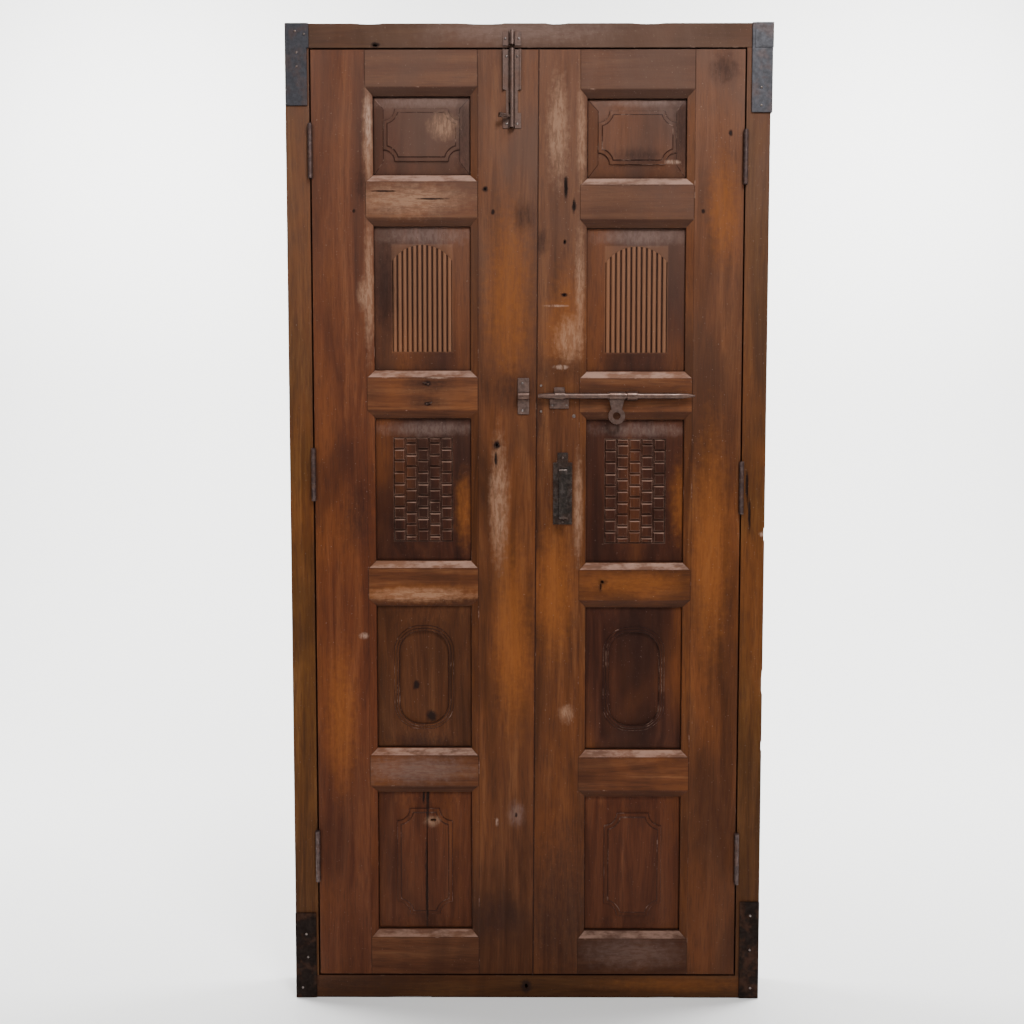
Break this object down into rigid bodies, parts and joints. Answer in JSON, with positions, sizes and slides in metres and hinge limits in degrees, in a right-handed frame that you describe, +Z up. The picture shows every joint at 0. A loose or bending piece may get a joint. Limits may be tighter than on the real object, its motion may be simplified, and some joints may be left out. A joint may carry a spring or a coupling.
{
  "type": "panelled double door",
  "caption": "Carved and panelled timber door: a pair of leaves hung in their own frame, with iron corner straps, a cross bolt and hasp, a tower bolt and a pull handle.",
  "frame": {"origin": "the middle of the sill's underside, at half the frame's depth", "axes": "+X to the right of a viewer who faces the carved side, +Y away from that viewer through the door, +Z up; the carved side faces -Y"},
  "size_m": [1.014, 0.1165, 2.08],
  "materials": {
    "jamb_wood": "worn satin, olive brown",
    "stile_wood": "worn satin, red brown",
    "rail_wood": "worn satin, red brown",
    "panel_wood": "worn, dark brown",
    "strap_iron": "dark, dull",
    "hinge_iron": "brown, dull",
    "bolt_iron": "grey brown, worn bright on its edges",
    "handle_iron": "grey brown, dull",
    "nail_iron": "worn bright"
  },
  "bodies": {
    "frame": {"frame_head": "jamb_wood", "frame_sill": "jamb_wood", "frame_jamb_left": "jamb_wood", "frame_jamb_right": "jamb_wood", "corner_strap_top_left": "strap_iron", "corner_strap_top_right": "strap_iron", "corner_strap_bottom_left": "strap_iron", "corner_strap_bottom_right": "strap_iron", "frame_nails": "nail_iron", "left_hinge_bottom_frame_half": "hinge_iron", "left_hinge_middle_frame_half": "hinge_iron", "left_hinge_top_frame_half": "hinge_iron", "right_hinge_bottom_frame_half": "hinge_iron", "right_hinge_middle_frame_half": "hinge_iron", "right_hinge_top_frame_half": "hinge_iron", "hinge_pins": "hinge_iron", "tower_bolt_keeper": "bolt_iron"},
    "left_leaf": {"left_hinge_stile": "stile_wood", "left_meeting_stile": "stile_wood", "left_rail_1": "rail_wood", "left_rail_2": "rail_wood", "left_rail_3": "rail_wood", "left_rail_4": "rail_wood", "left_rail_5": "rail_wood", "left_rail_6": "rail_wood", "left_panel_tablet": "panel_wood", "left_panel_reeded_arch": "panel_wood", "left_panel_bricks": "panel_wood", "left_panel_oval": "panel_wood", "left_panel_tall_tablet": "panel_wood", "left_hinge_bottom_leaf_half": "hinge_iron", "left_hinge_middle_leaf_half": "hinge_iron", "left_hinge_top_leaf_half": "hinge_iron", "tower_bolt_plate": "bolt_iron", "cross_bolt_keeper": "bolt_iron", "left_leaf_nails": "nail_iron"},
    "right_leaf": {"right_hinge_stile": "stile_wood", "right_meeting_stile": "stile_wood", "right_rail_1": "rail_wood", "right_rail_2": "rail_wood", "right_rail_3": "rail_wood", "right_rail_4": "rail_wood", "right_rail_5": "rail_wood", "right_rail_6": "rail_wood", "right_panel_tablet": "panel_wood", "right_panel_reeded_arch": "panel_wood", "right_panel_bricks": "panel_wood", "right_panel_oval": "panel_wood", "right_panel_tall_tablet": "panel_wood", "right_hinge_bottom_leaf_half": "hinge_iron", "right_hinge_middle_leaf_half": "hinge_iron", "right_hinge_top_leaf_half": "hinge_iron", "cross_bolt_guide": "bolt_iron", "cross_bolt_staple": "bolt_iron", "pull_handle_plate": "handle_iron", "pull_handle_grip": "handle_iron", "right_leaf_nails": "nail_iron"},
    "tower_bolt": {"tower_bolt_rod": "bolt_iron"},
    "cross_bolt": {"cross_bolt_rod": "bolt_iron"},
    "hasp": {"cross_bolt_hasp": "bolt_iron"}
  },
  "joints": [
    {"name": "left_leaf_hinge", "type": "hinge", "parent": "frame", "child": "left_leaf", "pos_m": [-0.4535, -0.05005, 1], "axis": [0, 0, -1], "range_deg": [0, 170]},
    {"name": "right_leaf_hinge", "type": "hinge", "parent": "frame", "child": "right_leaf", "pos_m": [0.4535, -0.05005, 1], "axis": [0, 0, 1], "range_deg": [0, 170]},
    {"name": "tower_bolt_slide", "type": "slide", "parent": "left_leaf", "child": "tower_bolt", "axis": [0, 0, 1], "range_m": [0, 0.024]},
    {"name": "cross_bolt_slide", "type": "slide", "parent": "right_leaf", "child": "cross_bolt", "axis": [-1, 0, 0], "range_m": [0, 0.09]},
    {"name": "hasp_swing", "type": "hinge", "parent": "cross_bolt", "child": "hasp", "pos_m": [0.18787, -0.055, 1.311], "axis": [-1, 0, 0], "range_deg": [-4, 180]}
  ]
}
